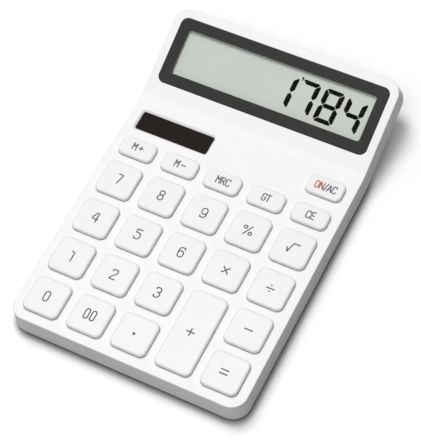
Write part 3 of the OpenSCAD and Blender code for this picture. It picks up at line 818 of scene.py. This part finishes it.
LETTERS = {
    "M": [line(-0.8, -1.6, -0.8, 1.6), line(-0.8, 1.6, 0, -0.1), line(0, -0.1, 0.8, 1.6),
          line(0.8, 1.6, 0.8, -1.6)],
    "R": [line(-0.7, -1.6, -0.7, 1.6),
          [(-0.7, 1.6, 0), (0.7, 1.6, 0.7), (0.7, 0, 0.7), (-0.7, 0, 0)], line(0, 0, 0.75, -1.6)],
    "C": [[(0.75, 0.9, 0), (0.75, 1.6, 0.68), (-0.75, 1.6, 0.7), (-0.75, -1.6, 0.7), (0.75, -1.6, 0.68),
           (0.75, -0.9, 0)]],
    "G": [[(0.75, 0.9, 0), (0.75, 1.6, 0.68), (-0.75, 1.6, 0.7), (-0.75, -1.6, 0.7), (0.75, -1.6, 0.7),
           (0.75, -0.1, 0.1), (0.1, -0.1, 0)]],
    "T": [line(-0.8, 1.6, 0.8, 1.6), line(0, 1.6, 0, -1.6)],
    "E": [[(0.75, 1.6, 0), (-0.65, 1.6, 0.1), (-0.65, -1.6, 0.1), (0.75, -1.6, 0)], line(-0.65, 0, 0.55, 0)],
    "O": [ring(-0.75, 0.75, -1.6, 1.6, 0.7)],
    "N": [line(-0.75, -1.6, -0.75, 1.6), line(-0.75, 1.6, 0.75, -1.6), line(0.75, -1.6, 0.75, 1.6)],
    "A": [[(-0.85, -1.6, 0), (0, 1.6, 0.08), (0.85, -1.6, 0)], line(-0.55, -0.6, 0.55, -0.6)],
    "/": [line(-0.5, -1.75, 0.5, 1.75)],
    "+": [line(-0.95, 0, 0.95, 0), line(0, -0.95, 0, 0.95)],
    "-": [line(-0.95, 0, 0.95, 0)],
}

# Small legends: each letter with the place of its middle along the line, in millimetres
WORDS = {
    "memory_plus": [("M", -1.45), ("+", 1.45)],
    "memory_minus": [("M", -1.45), ("-", 1.45)],
    "memory_recall": [("M", -2.15), ("R", 0.05), ("C", 2.15)],
    "grand_total": [("G", -0.98), ("T", 0.98)],
    "clear_entry": [("C", -1.02), ("E", 1.02)],
    "power": [("O", -3.85), ("N", -1.8)],
    "clear": [("/", 0.05), ("A", 1.7), ("C", 3.75)],
}
INK_HEIGHT = 0.03 * MM

# Where a key's legend is printed away from the key's middle, in millimetres
REGISTER = {
    "0": (-0.15, 0), "00": (-0.18, -0.04), "point": (-0.2, -0.12), "equals": (-0.39, -0.11),
    "1": (-0.18, -0.04), "2": (-0.08, -0.22), "3": (-0.15, -0.18), "minus": (0.21, -0.06),
    "4": (-0.17, 0.06), "5": (0, 0.1), "6": (-0.04, -0.17), "times": (0.09, -0.2), "divide": (-0.05, -0.24),
    "7": (0.17, 0.13), "8": (0.03, 0.2), "9": (0.03, -0.07), "percent": (0.02, -0.1), "root": (0.21, -0.21),
    "plus": (-0.18, -0.34), "memory_plus": (0.1, 0.41), "memory_minus": (0.23, 0.11),
    "memory_recall": (0.37, 0.06), "grand_total": (0.1, 0.07), "clear_entry": (0.16, 0),
    "on_clear": (0.27, -0.07),
}


ARC_STEP = math.radians(15)
ARM_SHARE = 0.499           # the most of a stroke's arm that one corner's arc may take up
BEAD_STEPS = 3
BALL_STEPS = 16


def rounded_path(points, closes):
    """Points along a stroke, with each corner turned into an arc of its own rounding."""
    path = []
    count = len(points)
    for i, (x, y, rounding) in enumerate(points):
        corner = Vector((x, y))
        ends = not closes and i in (0, count - 1)
        if ends or rounding <= 0:
            path.append(corner)
            continue
        before, after = (Vector(points[(i + way) % count][:2]) - corner for way in (-1, 1))
        half_turn = (math.pi - before.angle(after)) / 2
        back = min(rounding * math.tan(half_turn), before.length * ARM_SHARE, after.length * ARM_SHARE)
        radius = back / math.tan(half_turn)
        before.normalize()
        after.normalize()
        centre = corner + (before + after).normalized() * (radius / math.cos(half_turn))
        first, last = corner + before * back - centre, corner + after * back - centre
        steps = max(3, round(2 * half_turn / ARC_STEP))
        sweep = first.angle_signed(last)
        path += [centre + Matrix.Rotation(-sweep * k / steps, 2) @ first for k in range(steps + 1)]
    return path


def legend_mesh(name, placed, width):
    """Raised strokes of ink: round-ended lines, flattened to a thin low bead."""
    curve = bpy.data.curves.new(name, "CURVE")
    curve.dimensions = "3D"
    curve.bevel_depth = width / 2
    curve.bevel_resolution = BEAD_STEPS
    curve.use_fill_caps = True
    balls = []
    for strokes, shift in placed:
        for stroke in strokes:
            closes = stroke[0] == "ring"
            points = stroke[1:] if closes else stroke
            if len(points) == 1:
                balls.append((points[0][0] + shift, points[0][1], points[0][2] * MM))
                continue
            path = rounded_path(points, closes)
            spline = curve.splines.new("POLY")
            spline.points.add(len(path) - 1)
            for point, place in zip(spline.points, path):
                point.co = ((place.x + shift) * MM, place.y * MM, 0, 1)
            spline.use_cyclic_u = closes
            if not closes:
                balls += [(place.x + shift, place.y, width / 2) for place in (path[0], path[-1])]
    piece = linked(name, curve)
    seen = bpy.context.evaluated_depsgraph_get()
    bm = bmesh.new()
    bm.from_mesh(bpy.data.meshes.new_from_object(piece.evaluated_get(seen)))
    bpy.data.objects.remove(piece)
    for x, y, radius in balls:
        bmesh.ops.create_uvsphere(bm, u_segments=BALL_STEPS, v_segments=BALL_STEPS // 2, radius=radius,
                                  matrix=Matrix.Translation((x * MM, y * MM, 0)))
    for vert in bm.verts:
        vert.co.z *= INK_HEIGHT / (width / 2)
    for face in bm.faces:
        face.smooth = True
    bmesh.ops.remove_doubles(bm, verts=bm.verts, dist=1e-8)
    mesh = bpy.data.meshes.new(name)
    bm.to_mesh(mesh)
    bm.free()
    return linked(name, mesh)


class CALCULATOR_OT_legends(bpy.types.Operator):
    """Print the legends on the keys as thin raised ink"""

    bl_idname = "calculator.legends"
    bl_label = "Legends"

    def execute(self, context):
        keys = context.scene.calculator_keys
        grey, orange = ink("Legend Ink", "legend"), ink("Power Ink", "power")
        for node in KEYS:
            place = key_place(node)[0]
            short = node.replace("key_", "")
            across, along = REGISTER[short]
            matrix = Matrix.Translation((place.x + across * MM, place.y + along * MM, KEY_TOP))
            printed = [("power", orange), ("clear", grey)] if short == "on_clear" else [(short, grey)]
            for word, tone in printed:
                placed, stroke = [(FIGURES.get(word), 0)], keys.stroke
                if word in WORDS:
                    placed = [(LETTERS[letter], shift) for letter, shift in WORDS[word]]
                    stroke = keys.small_stroke
                settle(legend_mesh("legend_" + word, placed, stroke), matrix, tone, node, "key_white")
        return {"FINISHED"}


# ---- display


def segment_corners(show):
    """The seven segments of a figure as flat polygons, by their usual letters."""
    w, h = show.figure_width / 2, show.figure_height / 2
    u, t, gap = show.upright, show.level, show.parting
    half, slip, blunt = t / 2, gap * math.sqrt(2), show.blunt
    cut = u - half
    upper_right = [(w, h - slip - blunt), (w - blunt / 2, h - slip - blunt / 2), (w - u, h - u - slip),
                   (w - u, half + gap), (w - cut, gap), (w, cut + gap)]
    top = [(-w + slip + blunt, h), (-w + slip + blunt / 2, h - blunt / 2), (-w + slip + t, h - t),
           (w - slip - t, h - t), (w - slip - blunt / 2, h - blunt / 2), (w - slip - blunt, h)]
    tip = w - cut - slip
    middle = [(-tip, 0), (-tip + half, -half), (tip - half, -half), (tip, 0), (tip - half, half),
              (-tip + half, half)]

    def flip(points, x, y):
        turned = [(px * x, py * y) for px, py in points]
        return turned if x * y > 0 else turned[::-1]

    return {"a": top, "b": upper_right, "c": flip(upper_right, 1, -1), "d": flip(top, 1, -1),
            "e": flip(upper_right, -1, -1), "f": flip(upper_right, -1, 1), "g": middle}


LIT = {"1": "bc", "7": "abc", "8": "abcdefg", "4": "fgbc"}
# Figures from left to right, each with the place of its middle along the frame, in millimetres
READING = [("1", 5.0), ("7", 15.0), ("8", 26.0), ("4", 36.6)]
TICK = [(5.1, 8.0), (5.1, 7.3), (5.6, 7.1), (5.2, 6.5), (5.6, 6.3), (6.1, 7.2), (6.0, 8.0)]
FIGURE_HEIGHT = 23.15       # middle of the 8 up the slope, in millimetres
FIGURE_MIDDLE = 26
FIGURE_LEAN = math.tan(math.radians(1.9))
FIGURE_SLOPE = math.radians(-1.3)
FIGURE_THICK = 0.02 * MM
BEZEL_TOP = -0.1 * MM
BEZEL_THICK = 0.9 * MM
BEZEL_EDGE = 0.25 * MM


class CALCULATOR_OT_display(bpy.types.Operator):
    """Build the dark frame of the display and the figures that it shows"""

    bl_idname = "calculator.display"
    bl_label = "Display"

    def execute(self, context):
        show = context.scene.calculator_display
        bottom = BEZEL_TOP - BEZEL_THICK
        bm = bmesh.new()
        face = outline_face(bm, show.width, show.length, FRAME_CORNER, FRAME_SPOT, bottom)
        face = lift(bm, face, BEZEL_THICK - BEZEL_EDGE)
        round_over(bm, face, BEZEL_EDGE)
        bezel = as_object(bm, "display_bezel")
        with tool(bezel, "window") as bm:
            mouth_cutter(bm, show.view_width, show.view_length, VIEW_CORNER, VIEW_SPOT, 3 * SPARE,
                         RECESS_MOUTH, BEZEL_TOP)
        under, below = show.undercut, 0.1 * MM
        with tool(bezel, "undercut") as bm:
            face = outline_face(bm, show.view_width + 2 * under, show.view_length + 2 * under,
                                VIEW_CORNER + under, VIEW_SPOT, bottom - below)
            face = lift(bm, face, below)
            draw_in(bm, face, under, under)
        shade(bezel)
        settle(bezel, DISPLAY, frame_grey(), CASE, "frame_grey", "display_frame")

        black = ink("Figure Black", "figures", 0.01)
        corners = segment_corners(show)
        turn = Matrix.Rotation(FIGURE_SLOPE, 4, "Z")
        for order, (figure, across) in enumerate(READING):
            outlines = [corners[letter] for letter in LIT[figure]]
            if order == 0:
                outlines.append([(x * MM, y * MM) for x, y in TICK])
            bm = bmesh.new()
            for points in outlines:
                verts = [bm.verts.new((x + y * FIGURE_LEAN, y, 0)) for x, y in points]
                lift(bm, bm.faces.new(verts), FIGURE_THICK)
            piece = as_object(bm, f"figure_{order + 1}")
            height = FIGURE_HEIGHT + math.tan(FIGURE_SLOPE) * (across - FIGURE_MIDDLE)
            spot = Vector((across * MM, height * MM, -show.depth - FIGURE_THICK / 4))
            settle(piece, DISPLAY @ Matrix.Translation(spot) @ turn, black, CASE, "carbon_black")
        return {"FINISHED"}


# ---- feet


FOOT_SIDES = 40
FOOT_RIM = 0.3 * MM
FOOT_RIM_STEPS = 4


class CALCULATOR_OT_feet(bpy.types.Operator):
    """Build the round rubber feet with softened rims"""

    bl_idname = "calculator.feet"
    bl_label = "Feet"

    def execute(self, context):
        rubber = finish("Foot Rubber", speckle, colour=(0.03, 0.03, 0.03), flecks=(0.05, 0.05, 0.05),
                        scale=1800.0, roughness=0.7)
        for node in ("front_feet", "rear_feet"):
            low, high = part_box(node)
            size = (high.y - low.y) / 2
            bm = bmesh.new()
            for side in (-1, 1):
                centre = side * (high.x - size), (low.y + high.y) / 2
                verts = rod(bm, centre, high.z, low.z, size, FOOT_SIDES)
                half = (low.z + high.z) / 2
                rim = [e for e in bm.edges if all(v in verts and v.co.z < half for v in e.verts)]
                bmesh.ops.bevel(bm, geom=rim, offset=FOOT_RIM, offset_type="OFFSET",
                                segments=FOOT_RIM_STEPS, profile=0.5,
                                affect="EDGES", material=-1)
            piece = shade(as_object(bm, node.replace("_feet", "_pads")))
            settle(piece, Matrix.Identity(4), rubber, CASE, "foot_rubber", node)
        return {"FINISHED"}


# ---- stage

CAMERA_PLACE = (0.202648, -0.287244, 0.585391)
CAMERA_TURN = (30.53364, 5.07691, 26.96699)     # degrees
SENSOR_WIDTH = 36
FLOOR_HALF = 3
MOTTLE = 0.01               # how much the floor's tone varies

# Each lamp: its name, the setting that holds its power, its width and its place in metres
LAMPS = (
    ("softbox", "lamp", 0.6, (-0.32, 0.29, 1.4)),
    ("broad", "broad", 2.0, (-0.637, 0.576, 1.229)),
    ("front", "front", 1.2, (0.0, -0.7, 1.3)),
    ("fill", "fill", 0.6, (0.82, -1.22, 0.31)),
)


def seen_directly(tree):
    """1 for rays that come straight from the camera, or by way of a gloss or a clear part."""
    path = add(tree, "LightPath")
    first = math_node(tree, "MAXIMUM", path.outputs["Is Camera Ray"], path.outputs["Is Glossy Ray"])
    return math_node(tree, "MAXIMUM", first, path.outputs["Is Transmission Ray"])


class CALCULATOR_OT_stage(bpy.types.Operator):
    """Lay the pale floor, hang the lamps and set the camera"""

    bl_idname = "calculator.stage"
    bl_label = "Stage"

    def execute(self, context):
        scene = context.scene
        stage = scene.calculator_stage

        bm = bmesh.new()
        bmesh.ops.create_grid(bm, x_segments=1, y_segments=1, size=FLOOR_HALF)
        floor = as_object(bm, "floor")
        material = bpy.data.materials.new("Studio Floor")
        material.use_nodes = True
        tree = material.node_tree
        surface = tree.nodes["Principled BSDF"]
        surface.inputs["Roughness"].default_value = 0.9
        surface.inputs["Specular IOR Level"].default_value = 0.0
        cloud = noise(tree, add(tree, "TexCoord").outputs["Object"], 3.0)
        mottle = math_node(tree, "MULTIPLY", cloud, MOTTLE)
        pale = blend_colour(tree, "MULTIPLY", mottle, (*(stage.floor,) * 3, 1), BLACK)
        # Painted contact shadow: the floor's colour is darkened where the object stands near it
        pale = blend_colour(tree, "MULTIPLY", enclosed(tree, stage.reach, 2 * stage.contact), pale, BLACK)
        tone = blend_colour(tree, "MIX", seen_directly(tree), (*(stage.bounce,) * 3, 1), pale)
        tree.links.new(tone, surface.inputs["Base Color"])
        floor.data.materials.append(material)

        world = bpy.data.worlds.new("Studio")
        scene.world = world
        world.use_nodes = True
        tree = world.node_tree
        background = tree.nodes["Background"]
        background.inputs["Color"].default_value = (1, 1, 1, 1)
        tree.links.new(spread(tree, seen_directly(tree), stage.sky, 1.0), background.inputs["Strength"])

        for name, power, size, place in LAMPS:
            lamp = bpy.data.lights.new(name, "AREA")
            lamp.shape = "DISK"
            lamp.size = size
            lamp.energy = getattr(stage, power)
            hung = linked(name, lamp)
            hung.location = place
            hung.rotation_euler = (-hung.location).to_track_quat("-Z", "Y").to_euler()

        lens = bpy.data.cameras.new("camera")
        lens.lens = stage.focal
        lens.sensor_width = SENSOR_WIDTH
        lens.clip_start, lens.clip_end = 0.01, 20
        camera = linked("camera", lens)
        camera.location = CAMERA_PLACE
        camera.rotation_euler = [math.radians(a) for a in CAMERA_TURN]
        scene.camera = camera
        scene.view_settings.view_transform = "Standard"
        return {"FINISHED"}


# ---- add-on

OPERATORS = (
    CALCULATOR_OT_finish_frame,
    CALCULATOR_OT_case,
    CALCULATOR_OT_keys,
    CALCULATOR_OT_legends,
    CALCULATOR_OT_display,
    CALCULATOR_OT_feet,
    CALCULATOR_OT_stage,
)


class CALCULATOR_PT_panel(bpy.types.Panel):
    """Lists the steps that build the calculator"""

    bl_label = "Desk Calculator"
    bl_space_type = "VIEW_3D"
    bl_region_type = "UI"
    bl_category = "Calculator"

    def draw(self, context):
        for operator in OPERATORS:
            self.layout.operator(operator.bl_idname)
        for name, settings in SETTINGS.items():
            box = self.layout.box()
            for prop in settings.__annotations__:
                box.prop(getattr(context.scene, name), prop)


def register():
    for cls in (*SETTINGS.values(), *OPERATORS, CALCULATOR_PT_panel):
        bpy.utils.register_class(cls)
    for name, settings in SETTINGS.items():
        setattr(bpy.types.Scene, name, PointerProperty(type=settings))


def unregister():
    for name in SETTINGS:
        delattr(bpy.types.Scene, name)
    for cls in (CALCULATOR_PT_panel, *reversed(OPERATORS), *reversed(tuple(SETTINGS.values()))):
        bpy.utils.unregister_class(cls)


def main():
    register()
    for operator in OPERATORS:
        family, name = operator.bl_idname.split(".")
        getattr(getattr(bpy.ops, family), name)()


if __name__ == "__main__":
    main()
